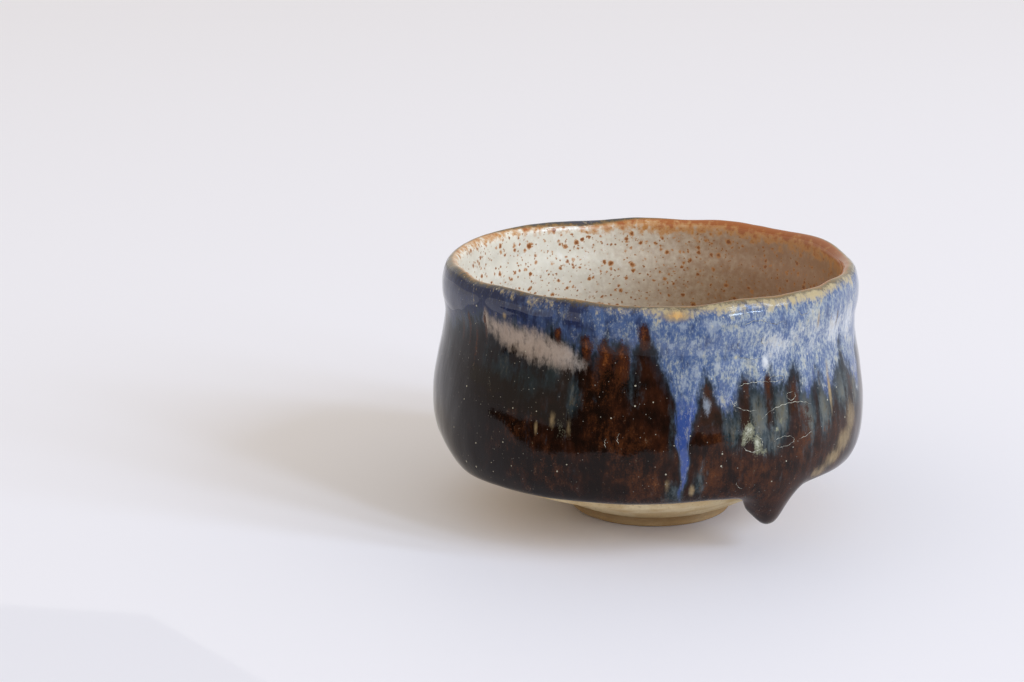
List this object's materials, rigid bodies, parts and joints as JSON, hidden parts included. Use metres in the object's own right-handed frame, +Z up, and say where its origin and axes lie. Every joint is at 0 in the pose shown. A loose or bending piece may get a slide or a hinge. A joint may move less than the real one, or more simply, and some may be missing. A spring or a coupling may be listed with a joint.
{
  "type": "matcha bowl",
  "caption": "Wide hand-thrown stoneware tea bowl on a small turned foot, dark iron glaze with cobalt runs outside, speckled cream glaze inside and one hanging glaze drop.",
  "frame": {"origin": "on the table under the middle of the bowl's widest ring", "axes": "+Z up; -Y is the front, the side with the long blue run; +X to the right of it"},
  "size_m": [0.1279, 0.1282, 0.0758],
  "materials": {
    "bare_clay": "bare buff stoneware, matt and slightly gritty",
    "cream_glaze": "satin cream glaze with rust iron specks",
    "iron_glaze": "glossy black-brown iron glaze with rust mottling",
    "cobalt_glaze": "glossy cobalt blue glaze, streaked, with pale milky spots",
    "ochre_glaze": "thin ochre glaze where the lip breaks through"
  },
  "bodies": {
    "root": {"clay_body": "bare_clay", "foot_ring": "bare_clay", "inner_glaze": "cream_glaze", "outer_glaze": "iron_glaze", "blue_glaze": "cobalt_glaze", "lip_glaze": "ochre_glaze", "glaze_drop": "iron_glaze"}
  },
  "joints": []
}
